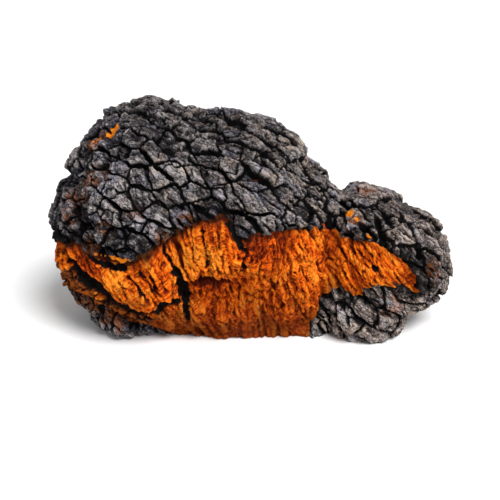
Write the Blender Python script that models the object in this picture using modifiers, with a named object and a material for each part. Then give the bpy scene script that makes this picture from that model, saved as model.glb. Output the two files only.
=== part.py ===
"""Chaga conk: one grown piece, a lobed mass of corky flesh under a cracked crust of blocky plates.

Metres, +Z up. The origin is at the middle of the flat cut that the conk rests on. +X is its long way,
from the big dome at -X to the small lobe at +X, and -Y is the broken side, where the flesh shows.
"""

import heapq
import math
import random

import bmesh
import bpy
import numpy as np
from mathutils import Matrix, Vector

# The form under the crust: name, centre and half-sizes of each swelling that the conk grew by.
SWELLINGS = (
    ("dome", (-0.064, -0.006, 0.070), (0.057, 0.070, 0.080)),
    ("shoulder", (-0.094, -0.010, 0.062), (0.036, 0.056, 0.051)),
    ("saddle", (-0.038, -0.004, 0.068), (0.048, 0.068, 0.075)),
    ("crown", (-0.012, -0.004, 0.066), (0.056, 0.074, 0.074)),
    ("slope", (0.024, -0.004, 0.052), (0.040, 0.062, 0.058)),
    ("lobe", (0.081, -0.014, 0.051), (0.035, 0.048, 0.040)),
    ("lobe_end", (0.105, -0.012, 0.045), (0.028, 0.040, 0.030)),
    ("toe", (0.079, -0.012, 0.021), (0.029, 0.044, 0.026)),
    ("back_swell", (-0.038, 0.024, 0.056), (0.060, 0.054, 0.060)),
    ("back_knuckle", (0.052, 0.016, 0.036), (0.042, 0.048, 0.042)),
    ("left_flesh", (-0.078, -0.048, 0.048), (0.032, 0.028, 0.026)),
    ("middle_flesh", (-0.020, -0.052, 0.078), (0.032, 0.028, 0.028)),
    ("left_side", (-0.102, -0.014, 0.047), (0.029, 0.034, 0.030)),
    ("left_heel", (-0.084, -0.020, 0.018), (0.023, 0.034, 0.024)),
    ("foot", (0.000, 0.000, 0.004), (0.088, 0.046, 0.020)),
)
# The undercut below the broken face.
HOLLOW = ((-0.004, -0.088, 0.024), (0.058, 0.036, 0.034))
FORM_VOXEL = 0.002
FORM_SOFTENING = 50

# Lower edge of the crust and, below it, the upper edge of the crust that wraps under: azimuth in degrees
# about the vertical axis (0 is -Y, 90 is +X) and height.
RIM = (
    (-150, 0.010), (-120, 0.026), (-100, 0.046), (-86, 0.058), (-74, 0.066), (-61, 0.071), (-53, 0.067),
    (-46, 0.064), (-41, 0.0685), (-36, 0.079), (-33, 0.0835), (-28, 0.089), (-20, 0.094), (-11, 0.096),
    (-5, 0.084), (-1, 0.080), (6, 0.083), (22, 0.081), (31, 0.081), (39, 0.075), (45, 0.078),
    (51, 0.078), (55, 0.071), (58, 0.063), (62, 0.056), (66, 0.042), (90, 0.012), (130, 0.008),
    (180, 0.008),
)
SILL = (
    (-150, 0.004), (-110, 0.018), (-84, 0.036), (-70, 0.028), (-60, 0.020), (-53, -0.010), (42, -0.010),
    (50, 0.038), (58, 0.043), (71, 0.035), (90, 0.012), (130, 0.004), (180, 0.004),
)

# Spacing of the plates across their grain, how many times longer it is along it at the dome's and at the
# lobe's end, and how unevenly the plates are sized.
PLATE_SPACING = 0.0116
PLATE_STRETCH = (1.15, 1.60)
PLATE_GRAIN = Vector((0.75, 0.0, -0.65))
PLATE_UNEVEN = 0.28
# The same for the ridges of the flesh, whose grain leans from upright by these degrees at each azimuth.
RIDGE_SPACING = 0.0084
RIDGE_STRETCH = 2.6
RIDGE_LEAN = ((-120, 42), (-60, 42), (-38, 24), (-20, 8), (15, 3), (40, 30), (60, 42), (100, 42))
BURIED_SPACING = 0.024
BURIED_BELOW = -0.004

PLATE_RISE = 0.0058
PLATE_RISE_SPREAD = 0.0018
CRACK_HALF_WIDTH = 0.0013
PLATE_TILT_DEG = 8.0
PLATE_CROWN = 0.0010
CROWNED_SHARE = 0.6
FLESH_SINK = 0.0040
RIDGE_RISE = 0.0030
RIDGE_RISE_SPREAD = 0.0016
RIDGE_SIDE = 0.0011
# Added to the squared distances across the rim, so that plates and ridges keep to their own side of it.
RIM_HOLDS_BACK = 1.0
SEED = 11

CRUST_LOOK = ((0.030, 0.027, 0.026), 0.85)
FLESH_LOOK = ((0.72, 0.22, 0.03), 0.90)


def clear_scene():
    for obj in list(bpy.data.objects):
        bpy.data.objects.remove(obj)


def look(name, colour, roughness):
    material = bpy.data.materials.new(name)
    material.use_nodes = True
    shader = material.node_tree.nodes["Principled BSDF"]
    shader.inputs["Base Color"].default_value = (*colour, 1.0)
    shader.inputs["Roughness"].default_value = roughness
    shader.inputs["Metallic"].default_value = 0.0
    return material


def new_object(name, mesh, collection):
    obj = bpy.data.objects.new(name, mesh)
    collection.objects.link(obj)
    return obj


def evaluated_mesh(obj):
    graph = bpy.context.evaluated_depsgraph_get()
    graph.update()
    mesh = bpy.data.meshes.new_from_object(obj.evaluated_get(graph))
    bpy.data.objects.remove(obj)
    return mesh


def ball_mesh(name, balls):
    """Balls stretched to the given half-sizes, as one mesh that runs through itself."""
    surface = bmesh.new()
    for centre, radii in balls:
        placed = Matrix.LocRotScale(Vector(centre), None, Vector(radii))
        bmesh.ops.create_icosphere(surface, subdivisions=5, radius=1.0, matrix=placed)
    mesh = bpy.data.meshes.new(name)
    surface.to_mesh(mesh)
    surface.free()
    return mesh


def add_remesh(obj, name):
    skin = obj.modifiers.new(name, "REMESH")
    skin.mode = "VOXEL"
    skin.voxel_size = FORM_VOXEL


def smooth_form(helpers):
    """The swellings run together into one smooth closed surface and undercut, as a mesh."""
    hollow = new_object("hollow", ball_mesh("hollow", [HOLLOW]), helpers)
    hollow.hide_render = True
    hollow.display_type = "WIRE"
    form = new_object("form", ball_mesh("form", [swelling[1:] for swelling in SWELLINGS]), helpers)
    add_remesh(form, "join")
    undercut = form.modifiers.new("undercut", "BOOLEAN")
    undercut.operation = "DIFFERENCE"
    undercut.solver = "EXACT"
    undercut.object = hollow
    add_remesh(form, "even_out")
    soften = form.modifiers.new("soften", "SMOOTH")
    soften.factor = 0.5
    soften.iterations = FORM_SOFTENING
    return evaluated_mesh(form)


def value_at(line, azimuth):
    """Value of a line of (azimuth, value) points, which closes on itself round the conk."""
    for (start, low), (end, high) in zip(line, line[1:] + ((line[0][0] + 360, line[0][1]),)):
        for turned in (azimuth, azimuth + 360):
            if start <= turned <= end:
                share = (turned - start) / (end - start)
                return low + (high - low) * share * share * (3 - 2 * share)
    return line[0][1]


def azimuth_of(point):
    return math.degrees(math.atan2(point.x, -point.y))


def in_flesh(point):
    azimuth = azimuth_of(point)
    return value_at(SILL, azimuth) < point.z < value_at(RIM, azimuth)


def growth_at(point, normal):
    """Spacing across the grain, stretch along it, and the grain's direction on the surface there."""
    if point.z < BURIED_BELOW:
        spacing, stretch, grain = BURIED_SPACING, 1.0, PLATE_GRAIN
    elif in_flesh(point):
        lean = math.radians(value_at(RIDGE_LEAN, azimuth_of(point)))
        spacing, stretch = RIDGE_SPACING, RIDGE_STRETCH
        grain = Vector((math.sin(lean), 0.0, -math.cos(lean)))
    else:
        share = min(max(0.5 + point.x / 0.12, 0.0), 1.0)
        stretch = PLATE_STRETCH[0] + (PLATE_STRETCH[1] - PLATE_STRETCH[0]) * share
        spacing, grain = PLATE_SPACING, PLATE_GRAIN
    return spacing, stretch, (grain - normal * grain.dot(normal)).normalized()


def stretched_square(away, grain, stretch):
    """Squared length of each row, with what lies along the grain counted shorter."""
    return (away**2).sum(axis=-1) - (1 - 1 / stretch**2) * (away @ grain) ** 2


def scatter_centres(form):
    """The form's vertices that plates and ridges grow round, as close as their spacing lets them lie, each
    with its grain and stretch."""
    draw = random.Random(SEED)
    order = list(range(len(form.vertices)))
    draw.shuffle(order)
    placed = np.empty((len(order), 3))
    centres = []
    for index in order:
        point, normal = form.vertices[index].co, form.vertices[index].normal
        spacing, stretch, grain = growth_at(point, normal)
        spacing *= draw.uniform(1 - PLATE_UNEVEN, 1 + PLATE_UNEVEN)
        away = placed[:len(centres)] - np.array(point)
        if not (stretched_square(away, np.array(grain), stretch) < spacing**2).any():
            placed[len(centres)] = point
            centres.append((index, np.array(grain), stretch))
    return centres


def grow_cells(form, centres):
    """For each vertex of the form, the number of the centre whose ground it is: all grow until they meet."""
    places = [np.array(vertex.co) for vertex in form.vertices]
    beside = [[] for _ in places]
    for edge in form.edges:
        first, second = edge.vertices
        beside[first].append(second)
        beside[second].append(first)
    owner = [None] * len(places)
    edge_of_growth = [(0.0, index, number) for number, (index, _, _) in enumerate(centres)]
    flesh = [in_flesh(vertex.co) for vertex in form.vertices]
    while edge_of_growth:
        _, index, number = heapq.heappop(edge_of_growth)
        if owner[index] is not None:
            continue
        owner[index] = number
        start, grain, stretch = centres[number]
        for other in beside[index]:
            if owner[other] is None:
                reach = stretched_square(places[other] - places[start], grain, stretch)
                if flesh[other] != flesh[start]:
                    reach += RIM_HOLDS_BACK
                heapq.heappush(edge_of_growth, (reach, other, number))
    return owner


def ring_of(corners, up):
    """A cell's corners in turn, anticlockwise seen from outside, each given with its two other owners."""
    ring, left = [corners[0][1]], corners[1:]
    ahead = corners[0][0][1]
    while left:
        step = next(corner for corner in left if ahead in corner[0])
        left.remove(step)
        ring.append(step[1])
        ahead = step[0][0] if step[0][1] == ahead else step[0][1]
    turn = sum((a.co.cross(b.co) for a, b in zip(ring, ring[1:] + ring[:1])), Vector())
    return ring if turn.dot(up) > 0 else ring[::-1]


def plate_outlines(form, centres):
    """One polygon on the form round each centre, with its corners where the ground of three meets."""
    owner = grow_cells(form, centres)
    form.calc_loop_triangles()
    meetings = {}
    for triangle in form.loop_triangles:
        owners = tuple(sorted({owner[index] for index in triangle.vertices}))
        if len(owners) == 3:
            place = sum((form.vertices[index].co for index in triangle.vertices), Vector()) / 3
            meetings.setdefault(owners, []).append(place)
    corners = [[] for _ in centres]
    surface = bmesh.new()
    for owners, places in meetings.items():
        vertex = surface.verts.new(sum(places, Vector()) / len(places))
        for number in owners:
            corners[number].append(([other for other in owners if other != number], vertex))
    for (index, _, _), cell in zip(centres, corners):
        surface.faces.new(ring_of(cell, form.vertices[index].normal))
    return surface


def raise_block(surface, face, side, rise, tilt):
    """Lifts a face into a block with sloping sides and a tilted top."""
    bmesh.ops.inset_individual(
        surface, faces=[face], thickness=side, depth=rise, use_even_offset=False
    )
    face.normal_update()
    lean_axis = Vector(tilt[:3]).cross(face.normal).normalized()
    lean = Matrix.Rotation(math.radians(tilt[3]), 3, lean_axis)
    bmesh.ops.rotate(surface, verts=face.verts, cent=face.calc_center_median(), matrix=lean)


def raise_crust_and_flesh(surface, is_flesh):
    """Sets the broken face back and raises its ridges, and raises the plates of the crust above it."""
    flesh = {face for face, ridge in zip(surface.faces, is_flesh) if ridge}
    surface.normal_update()
    inner = [v for v in surface.verts if all(f in flesh for f in v.link_faces)]
    for vertex in inner:
        vertex.co -= vertex.normal * FLESH_SINK
    surface.normal_update()
    draw = random.Random(SEED + 1)
    for face in surface.faces[:]:
        chance = draw.uniform(-1, 1)
        tilt = [draw.uniform(-1, 1) for _ in range(3)] + [draw.uniform(-1, 1) * PLATE_TILT_DEG]
        if face in flesh:
            face.material_index = 1
            raise_block(surface, face, RIDGE_SIDE, RIDGE_RISE + chance * RIDGE_RISE_SPREAD, tilt)
        else:
            raise_block(surface, face, CRACK_HALF_WIDTH, PLATE_RISE + chance * PLATE_RISE_SPREAD, tilt)


def crown_tops(surface, tops):
    """Gives most of the many-sided tops a low peak or dip in the middle."""
    draw = random.Random(SEED + 2)
    crowned = [face for face in tops if len(face.verts) > 4 and draw.random() < CROWNED_SHARE]
    poked = bmesh.ops.poke(surface, faces=crowned, offset=0.0)
    surface.normal_update()
    for vertex in poked["verts"]:
        vertex.co += vertex.normal * draw.uniform(-0.2, 1.0) * PLATE_CROWN


def cut_base(surface):
    """Cuts the conk off flat at the height where it rests, and puts the origin under its middle."""
    everything = surface.verts[:] + surface.edges[:] + surface.faces[:]
    bmesh.ops.bisect_plane(
        surface, geom=everything, dist=1e-6, plane_co=(0, 0, 0), plane_no=(0, 0, -1), clear_outer=True
    )
    rim = [edge for edge in surface.edges if edge.is_boundary]
    filled = bmesh.ops.holes_fill(surface, edges=rim, sides=0)
    for face in filled["faces"]:
        face.material_index = 1
    places = np.array([vertex.co for vertex in surface.verts])
    middle = (places.min(axis=0) + places.max(axis=0)) / 2
    bmesh.ops.translate(surface, verts=surface.verts, vec=(-middle[0], -middle[1], 0.0))


def conk(parts, helpers):
    form = smooth_form(helpers)
    centres = scatter_centres(form)
    surface = plate_outlines(form, centres)
    tops = surface.faces[:]
    raise_crust_and_flesh(surface, [in_flesh(form.vertices[index].co) for index, _, _ in centres])
    crown_tops(surface, tops)
    cut_base(surface)
    mesh = bpy.data.meshes.new("conk")
    bmesh.ops.triangulate(surface, faces=surface.faces)
    surface.to_mesh(mesh)
    surface.free()
    body = new_object("conk", mesh, parts)
    mesh.materials.append(look("crust", *CRUST_LOOK))
    mesh.materials.append(look("flesh", *FLESH_LOOK))
    return body


def main():
    clear_scene()
    parts = bpy.data.collections.new("chaga_mushroom")
    helpers = bpy.data.collections.new("helpers")
    for collection in (parts, helpers):
        bpy.context.scene.collection.children.link(collection)
    conk(parts, helpers)


main()
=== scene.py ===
# Chaga conk in a plain studio: a black crust of cracked blocks over broken, fibrous orange flesh.
# Metres, +Z up. The broken side faces -Y and the small lobe lies to +X.

import itertools
import math
import random

import bmesh
import bpy
import numpy as np
from mathutils import Matrix, Vector
from mathutils.kdtree import KDTree


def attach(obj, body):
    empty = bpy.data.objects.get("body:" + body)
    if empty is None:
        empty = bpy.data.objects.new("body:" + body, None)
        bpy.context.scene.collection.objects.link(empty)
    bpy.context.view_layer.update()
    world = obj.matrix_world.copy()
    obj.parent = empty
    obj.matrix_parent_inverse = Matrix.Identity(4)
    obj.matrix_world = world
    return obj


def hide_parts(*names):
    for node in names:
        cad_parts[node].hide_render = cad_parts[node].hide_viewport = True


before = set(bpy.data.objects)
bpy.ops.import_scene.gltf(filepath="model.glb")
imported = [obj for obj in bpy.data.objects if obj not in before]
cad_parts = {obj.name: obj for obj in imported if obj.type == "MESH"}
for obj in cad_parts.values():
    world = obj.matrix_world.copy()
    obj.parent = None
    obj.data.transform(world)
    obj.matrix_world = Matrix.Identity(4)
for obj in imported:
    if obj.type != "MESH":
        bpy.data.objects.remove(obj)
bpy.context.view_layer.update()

# The form that the conk grew by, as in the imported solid: centre and half-sizes of each swelling.
SWELLINGS = (
    ("dome", (-0.064, -0.006, 0.070), (0.057, 0.070, 0.080)),
    ("shoulder", (-0.094, -0.010, 0.062), (0.036, 0.056, 0.051)),
    ("saddle", (-0.038, -0.004, 0.068), (0.048, 0.068, 0.075)),
    ("crown", (-0.012, -0.004, 0.066), (0.056, 0.074, 0.074)),
    ("slope", (0.024, -0.004, 0.052), (0.040, 0.062, 0.058)),
    ("lobe", (0.081, -0.014, 0.051), (0.035, 0.048, 0.040)),
    ("lobe_end", (0.105, -0.012, 0.045), (0.028, 0.040, 0.030)),
    ("toe", (0.079, -0.012, 0.021), (0.029, 0.044, 0.026)),
    ("back_swell", (-0.038, 0.024, 0.056), (0.060, 0.054, 0.060)),
    ("back_knuckle", (0.052, 0.016, 0.036), (0.042, 0.048, 0.042)),
    ("left_flesh", (-0.078, -0.048, 0.048), (0.032, 0.028, 0.026)),
    ("middle_flesh", (-0.020, -0.052, 0.078), (0.032, 0.028, 0.028)),
    ("left_side", (-0.102, -0.014, 0.047), (0.029, 0.034, 0.030)),
    ("left_heel", (-0.084, -0.020, 0.018), (0.023, 0.034, 0.024)),
    ("foot", (0.000, 0.000, 0.004), (0.088, 0.046, 0.020)),
)
# The hollow taken out of them below the flesh: centre and half-sizes.
HOLLOW = ((-0.004, -0.088, 0.024), (0.058, 0.036, 0.034))
FORM_VOXEL = 0.002
FORM_SOFTENING = 50
# How far the finished conk is moved to stand centred.
CENTRING = np.array((-0.00027, -0.00149, 0.0))

# Lower edge of the crust, and the upper edge of the crust that wraps under: azimuth in degrees (0 is -Y,
# 90 is +X) and height.
RIM = (
    (-150, 0.010), (-120, 0.026), (-100, 0.046), (-86, 0.058), (-74, 0.066), (-61, 0.071), (-53, 0.067),
    (-46, 0.064), (-41, 0.0685), (-36, 0.079), (-33, 0.0835), (-28, 0.089), (-20, 0.094), (-11, 0.096),
    (-5, 0.084), (-1, 0.080), (6, 0.083), (22, 0.081), (31, 0.081), (39, 0.075), (45, 0.078),
    (51, 0.078), (55, 0.071), (58, 0.063), (62, 0.056), (66, 0.042), (90, 0.012), (130, 0.008),
    (180, 0.008),
)
SILL = (
    (-150, 0.004), (-110, 0.018), (-84, 0.036), (-70, 0.028), (-60, 0.020), (-53, -0.010), (42, -0.010),
    (50, 0.038), (58, 0.043), (71, 0.035), (90, 0.012), (130, 0.004), (180, 0.004),
)
# Azimuth at which the broken flesh ends on the right.
FLESH_END = 64.0

# Plates of the crust and ridges of the flesh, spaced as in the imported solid.
PLATE_SPACING = 0.0116
PLATE_STRETCH = (1.15, 1.60)
PLATE_GRAIN = Vector((0.75, 0.0, -0.65))
PLATE_UNEVEN = 0.28
RIDGE_SPACING = 0.0084
RIDGE_STRETCH = 2.6
RIDGE_LEAN = ((-120, 42), (-60, 42), (-38, 24), (-20, 8), (15, 3), (40, 30), (60, 42), (100, 42))
BURIED_SPACING = 0.024
BURIED_BELOW = -0.004
PLATE_RISE = 0.0044
PLATE_RISE_SPREAD = 0.0023
PLATE_TILT_DEG = 8.0
FLESH_SINK = 0.0040
RIDGE_RISE = 0.0030
RIDGE_RISE_SPREAD = 0.0016
SEED = 11

# What the scene adds to them: how much longer the plates grow, their grain as a direction and as a turn
# about Y, their common lean like shingles, the chunks that they split into, and the fibres of the flesh.
PLATE_LENGTHENING = 1.45
PLATE_RUN = np.array(PLATE_GRAIN.normalized())
PLATE_RUN_TURN = math.atan2(0.65, 0.75)
SHINGLE = np.array((-0.05, 0.0, -0.11))
CHUNK_SPACING = (0.0056, 0.0058)
CHUNK_STRETCH = (1.35, 2.50)
CHUNK_LEAN = ((-180, 42), (-40, 40), (10, 44), (35, 54), (60, 40), (100, 38), (170, 42))
CHUNK_TILT_DEG = 9.0
CHUNKS_FROM = -0.006
FIBRE_SPACING = 0.0034
FIBRE_STRETCH = 7.0

# The crust is made in two halves that meet inside the conk's top, on a plane at this Y. The half that faces
# the broken side is finer: name, voxel, and which way its cut faces.
CRUST_SPLIT = 0.012
CRUST_HALVES = (("crust", 0.00062, 1), ("crust_back", 0.00085, -1))
CRUST_OVERLAP = 0.0003
SKIRT_BEYOND_SPLIT = 0.015
FLESH_VOXEL = 0.00070
FLESH_TOP = 0.114
FLESH_BACK = 0.034
FLESH_BOTTOM = -0.004
FLESH_REACHES_UNDER = 0.012
MOST_TRIANGLES = 192000

# How wide the surroundings are that a raised vertex stands above, and the rise that counts in full.
RAISED_WITHIN = 0.0024
RAISED_FULLY = 0.0010

# Where the camera looks, how far it looks down, from how far, and its lens.
CAMERA_AIM = Vector((0.0, 0.0, 0.0465))
CAMERA_TILT_DEG = 20.0
CAMERA_DISTANCE = 0.818
LENS_MM = 85.0
SENSOR_MM = 36.0
# Soft light of the room, and the key light: where it stands, width in degrees, strength.
ROOM_LIGHT = 0.48
KEY_LIGHT = ((0.42, -0.72, 1.0), 28.0, 3.9)
FLOOR_HALF_SIDE = 6.0

# How far inside the form each skin hides where the other one shows, and the fall of the rim to there.
CRUST_HIDES = 0.009
CRUST_HIDES_DEEPER = 0.007
FLESH_HIDES = 0.012
RIM_FALL = 0.0016

# Heights, depths and widths of the crust's relief: cracks between plates, plates, seams between chunks,
# chunks, clumps of plates and valleys between them, flakes and fissures, and the thinner rim.
HAIRLINE, CRACK_WIDTH, CRACK_WALL, CRACK_FLOOR = 0.0001, 0.0015, 0.0007, 0.60
PLATE_DOME, PLATE_DOME_AT_CRACK, PLATE_DOME_WIDTH = 0.0007, 0.0009, 0.0022
SEAM_WIDTH, SEAM_WIDTH_RIGHT, SEAM_WALL, SEAM_DEPTH = 0.0002, 0.0003, 0.0009, 0.0024
CHUNK_RISE, CHUNK_LOST, CHUNK_DOME_AT_RIM = 0.0008, 0.0026, 0.0006
CLUMP_SIZE, CLUMP_RISE, VALLEY_WIDTH, VALLEY_DEPTH = 0.034, 0.0014, 0.0070, 0.0028
FLAKE_SIZE, FLAKE_RISE, FLAKE_LOST, FISSURE_WIDTH, FISSURE_DEPTH = 0.0023, 0.0005, 0.0008, 0.0006, 0.0006
RIM_THINNING, RIM_THINNING_WIDTH = 0.0034, 0.0085
# The same for the flesh: valleys between ridges, fibres and grooves, crumbs, clods and seams between them.
RIDGE_VALLEY_DEPTH, RIDGE_VALLEY_WALL = 0.0024, 0.0020
FIBRE_RISE, FIBRE_DOME, GROOVE_DEPTH, GROOVE_WALL = 0.0010, 0.0006, 0.0018, 0.0010
CRUMB_SIZE, CRUMB_RISE = 0.0022, 0.00035
CLOD_RISE, CLOD_BASE, CLOD_SEAM_WALL, CLOD_SEAM_DEPTH = 0.0014, 0.0008, 0.0013, 0.0022
# Distance from the crust's edge past which it no longer counts.
FAR_WITHIN = 0.02

# Soft lumps that make each skin uneven: how high, size, seed.
CRUST_SWELL = ((0.0010, 0.021, 40), (0.0007, 0.011, 41))
CRUST_ROUGHNESS = ((0.00055, 0.0048, 42), (0.00040, 0.0023, 43))
FLESH_ROUGHNESS = ((0.00050, 0.0019, 73), (0.0007, 0.0050, 74), (0.0013, 0.014, 75))

# Shakes that make borders run crooked: how far, size of the lumps, seed.
PLATE_SHAKES = ((0.0017, 0.009, 21), (0.0007, 0.003, 24), (0.0004, 0.0015, 27))
CHUNK_SHAKE = (0.0009, 0.0034, 31)
FLAKE_SHAKE = (0.0007, 0.003, 34)
CLUMP_SHAKE = (0.0060, 0.022, 37)
CREVICE_SHAKES = ((0.0013, 0.006, 81), (0.0006, 0.002, 84))
CLEFT_SHAKES = ((0.0017, 0.006, 81), (0.0009, 0.002, 84))
RIM_SHAKE = (0.0010, 0.004, 301)
RIDGE_SHAKE = (0.0016, 0.009, 51)
FIBRE_SHAKES = ((0.0011, 0.007, 61), (0.0004, 0.0022, 64))
CRUMB_SHAKE = (0.0006, 0.003, 66)
CLOD_SHAKE = (0.0012, 0.004, 77)

# How far a cleft reaches above and below its line.
CLEFT_REACH = 0.010

# What is placed one by one, in millimetres.
# Clefts in the flesh: depth, half-width, how dark the painted shade in it is, and the points that each runs
# through.
CLEFTS = (
    (7, 5, 1.0, ((-125, -44, 64), (-120, -53, 59), (-113, -56, 53), (-108, -60, 50), (-102, -62, 47),
        (-96, -68, 44), (-91, -66, 36), (-84, -66, 32), (-78, -66, 29))),
    (3, 2.4, 1.0, ((-103, -68, 66), (-97, -71, 64), (-92, -70, 61), (-84, -74, 62), (-80, -76, 61))),
    (3, 1.4, 0.7, ((-53, -76, 76), (-52, -75, 69), (-50, -73, 63), (-47, -72, 58))),
    (5.5, 2.6, 0.9, ((-47, -72, 58), (-44, -70, 50))),
    (8, 4.4, 0.9, ((-43, -68, 47), (-40, -62, 34))),
    (6, 3.2, 1.0, ((-40, -62, 34), (-42, -57, 22))),
    (4.5, 2.2, 1.0, ((-42, -57, 22), (-40, -54, 12))),
    (3, 1.5, 0.9, ((-40, -54, 12), (-38, -52, 1))),
    (3, 5.5, 1.0, ((-115, -55, 52), (-110, -59, 50), (-106, -60, 45))),
    (2, 3.2, 1.0, ((-106, -56, 35), (-101, -56, 29), (-94, -61, 27))),
    (2, 2, 1.0, ((-121, -47, 63), (-119, -49, 57))),
    (1.6, 3, 1.0, ((-13, -79, 95), (-10, -78, 89), (-7, -81, 84), (-4, -81, 78))),
    (3, 1.2, 0.8, ((-4, -81, 78), (-3, -75, 72), (-4, -74, 65), (-4, -74, 59))),
    (2.6, 1.1, 0.6, ((-31, -78, 92), (-29, -76, 83), (-27, -77, 71), (-27, -74, 61))),
    (2.2, 1, 0.5, ((-38, -76, 79), (-36, -74, 72), (-35, -73, 65))),
    (2.2, 1, 0.5, ((-17, -79, 75), (-17, -78, 67), (-18, -74, 60))),
    (2.6, 1.1, 0.5, ((-95, -71, 50), (-91, -71, 44), (-85, -69, 35))),
    (3, 1.3, 0.6, ((-77, -75, 56), (-73, -74, 50), (-69, -71, 42), (-64, -71, 36))),
    (2.4, 1.1, 0.5, ((-70, -76, 59), (-65, -73, 51), (-62, -71, 44))),
    (2.6, 1.2, 0.5, ((-63, -73, 55), (-60, -73, 46), (-57, -72, 41))),
    (5.5, 3.4, 0.4, ((-35, -69, 48), (-31, -70, 51), (-24, -70, 52), (-18, -66, 49))),
    (4, 4.2, 1.0, ((-88, -62, 25), (-76, -64, 21), (-66, -64, 25), (-57, -64, 30), (-49, -62, 34))),
    (3, 2.8, 1.0, ((79, -60, 57), (81, -60, 56))),
)
# Crevices between the slabs of the lobe, in the same terms.
CREVICES = (
    (6.5, 3, 1.0, ((81, -33, 95), (85, -37, 90), (90, -39, 85), (93, -44, 84))),
    (6, 3, 1.0, ((83, -46, 85), (85, -51, 77), (86, -58, 71), (90, -59, 66), (95, -58, 62))),
    (4.5, 2.2, 1.0, ((56, -20, 93), (60, -26, 91), (65, -35, 89), (69, -37, 88))),
    (5, 2.4, 1.0, ((69, -48, 84), (73, -51, 80), (77, -55, 79), (81, -57, 77))),
    (3.5, 1.4, 0.9, ((92, -54, 79), (95, -57, 75), (99, -55, 67), (100, -57, 63))),
    (4.5, 2, 1.0, ((100, -41, 83), (104, -42, 79), (107, -45, 74), (109, -46, 67), (112, -50, 60))),
    (4, 1.8, 1.0, ((102, -29, 86), (105, -34, 84), (110, -33, 81))),
    (4, 1.8, 1.0, ((48, -49, 84), (55, -45, 79), (60, -48, 76), (66, -50, 74))),
)
# Rotten ground of the flesh, low on the left: place, radius, amount.
ROTS = (
    ((-128, -27, 38), 12, 1.0), ((-123, -34, 35), 12, 1.0), ((-115, -45, 42), 11, 1.0),
    ((-113, -42, 27), 13, 1.0), ((-105, -50, 34), 12, 1.0), ((-98, -55, 29), 12, 1.0),
    ((-91, -60, 22), 12, 1.0), ((-82, -60, 16), 12, 1.0), ((-72, -60, 12), 12, 0.9),
    ((-110, -58, 46), 9, 1.0), ((-105, -58, 38), 10, 1.0), ((-97, -60, 29), 9, 1.0),
)
# Strips of it that stay orange.
STRIPS = (
    ((-123, -33, 40), 4.5, 1.0), ((-119, -38, 37), 4.5, 1.0), ((-115, -43, 35), 4.5, 1.0),
    ((-112, -45, 31), 4.5, 1.0), ((-108, -47, 28), 4.5, 1.0), ((-104, -56, 39), 5, 0.8),
    ((-98, -55, 29), 6, 0.8), ((-91, -56, 20), 6, 0.7),
)
# Places where the crust is chipped or stained by the flesh's colour: place, radius, amount.
CHIPS = (
    ((-89.5, -33, 141), 6.2, 1.0), ((-97, -33, 135), 3.2, 0.5), ((-101, -33, 131), 3.2, 0.5),
    ((62, -38, 88), 2.6, 0.8), ((65, -42, 86), 4, 0.9), ((68, -46, 84), 2.6, 0.8),
    ((76, -57, 76), 3.6, 0.9), ((-96, -72, 69), 4, 0.9), ((-91, -74, 67), 4, 1.0),
    ((-86, -75, 66), 4.2, 1.0), ((-82, -76, 65), 4.2, 1.0), ((-77, -77, 66), 3.6, 0.8),
)
RUSTS = (
    ((-98, -33, 134), 8.5, 1.0), ((-102, -26, 130), 6, 0.8), ((64, -36, 88), 5, 0.6),
    ((-94, -57, 119), 7, 0.7), ((-100, -52, 115), 7.5, 0.8), ((-107, -50, 105), 8, 0.8),
    ((-113, -43, 96), 8, 0.7), ((68, -47, 83), 5.5, 0.9), ((77, -19, 96), 8, 0.6),
    ((123, -48, 50), 10, 0.7), ((-90, -73, 88), 5.5, 0.7), ((-70, -76, 98), 5.5, 0.6),
    ((-54, -79, 83), 6, 0.7), ((-114, -53, 89), 7, 0.7), ((-100, -68, 75), 5.5, 0.7),
    ((-40, -74, 93), 5.5, 0.6), ((-118, -39, 24), 12, 1.0), ((-110, -44, 22), 12, 1.0),
    ((-97, -52, 20), 11, 1.0), ((-88, -54, 15), 9, 0.8), ((93, -60, 29), 9, 0.6),
)
# Painted light and shade: places that are brighter (positive) or darker than their ground: place, radius,
# amount.
FLESH_LIGHT_AND_SHADE = (
    ((-88, -73, 57), 8, 0.2), ((-84, -74, 50), 8, 0.18), ((-48, -71, 51), 6, 0.18),
    ((-38, -73, 60), 10, 0.16), ((-28, -76, 66), 10, 0.16), ((-26, -77, 74), 8, 0.16),
    ((-17, -79, 70), 8, 0.14), ((-117, -54, 61), 6, 0.25), ((13, -70, 77), 20, -0.42),
    ((2, -75, 74), 12, -0.22), ((34, -63, 70), 14, 0.06), ((-24, -66, 44), 13, -0.34),
    ((-10, -66, 46), 11, -0.22), ((-37, -66, 43), 10, -0.2), ((-22, -77, 89), 12, -0.1),
    ((-6, -81, 76), 13, -0.16), ((-59, -80, 68), 8, -0.14), ((-54, -69, 45), 10, -0.28),
    ((87, -57, 59), 8, 0.12), ((-131, -30, 60), 10, -0.35), ((-129, -34, 48), 10, -0.3),
    ((-121, -52, 68), 6, -0.35), ((-31, -70, 49), 6.5, -0.45), ((-25, -69, 50), 6.5, -0.45),
    ((-19, -66, 48), 6.5, -0.45), ((-27, -77, 69), 22, 0.11), ((-102, -63, 55), 12, -0.34),
    ((-115, -55, 60), 14, -0.26),
)
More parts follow.
